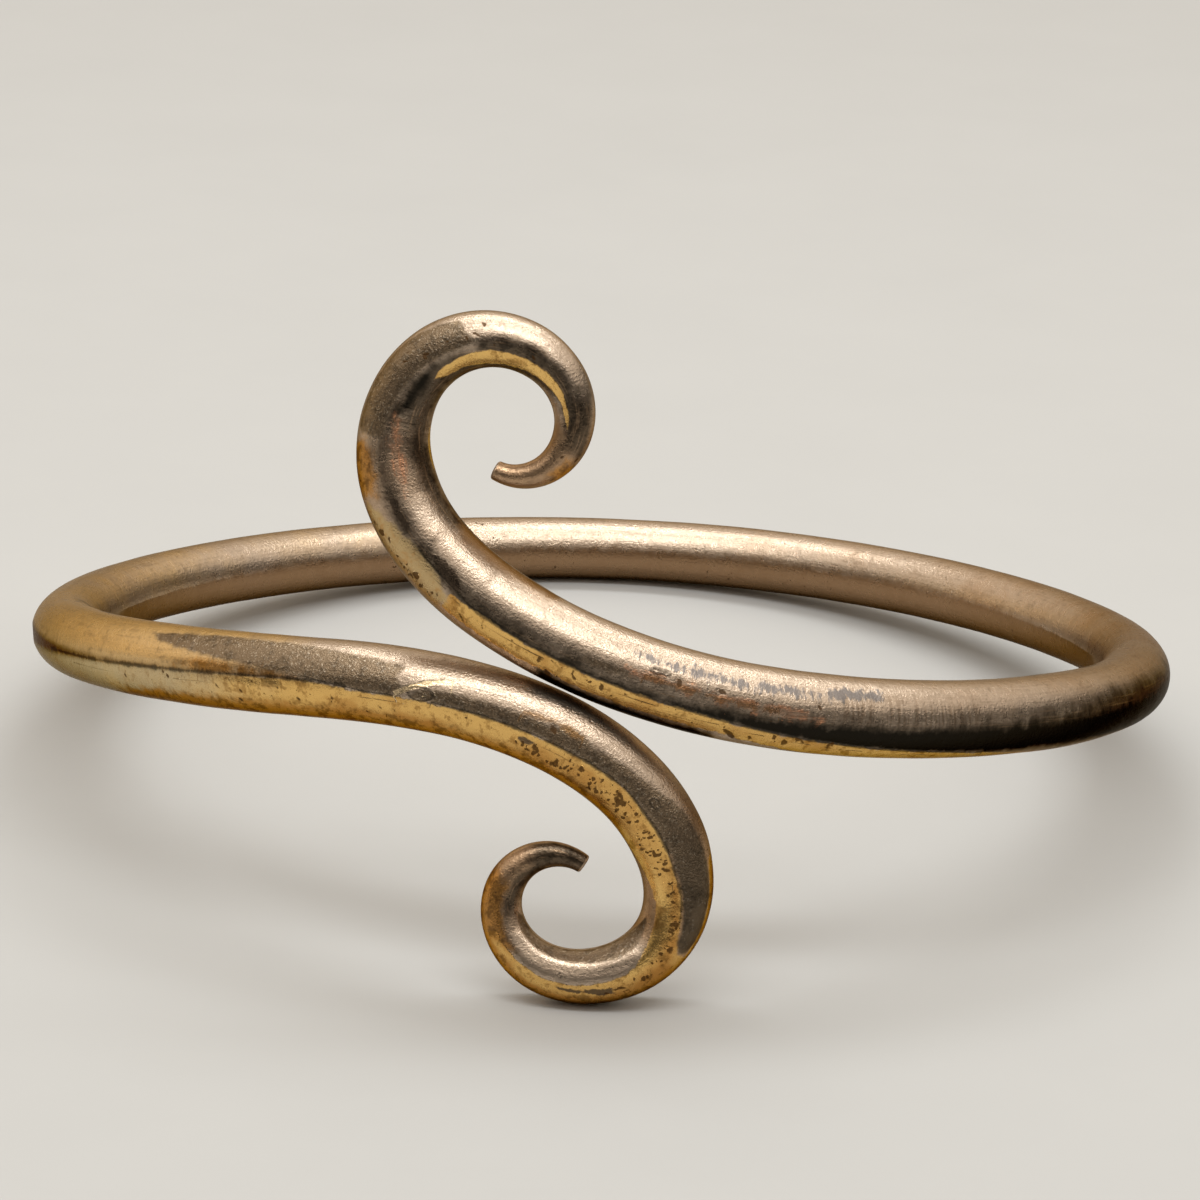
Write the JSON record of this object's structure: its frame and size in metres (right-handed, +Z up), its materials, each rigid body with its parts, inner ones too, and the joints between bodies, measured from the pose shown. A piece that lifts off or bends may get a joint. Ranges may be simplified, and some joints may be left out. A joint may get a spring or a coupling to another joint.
{
  "type": "torque bangle",
  "caption": "Open bangle of round bronze rod: a circular hoop whose tapering arms pass each other at the front and curl into spiral scrolls, above and below.",
  "frame": {"origin": "middle of the bounding box's base, on the surface that the bangle lies on", "axes": "-Y is the front, where the arms pass each other; +X is the wearer's side with the upper arm's start; +Z is up from the surface. The hoop's own axis leans 13.1 degrees from +Z, its front higher than its back"},
  "size_m": [0.0724, 0.0736, 0.0391],
  "materials": {
    "bronze": "polished bronze gone brown, with dark oxide in bands and patches and golden metal where it is rubbed"
  },
  "bodies": {
    "root": {"bangle": "bronze"}
  },
  "joints": []
}
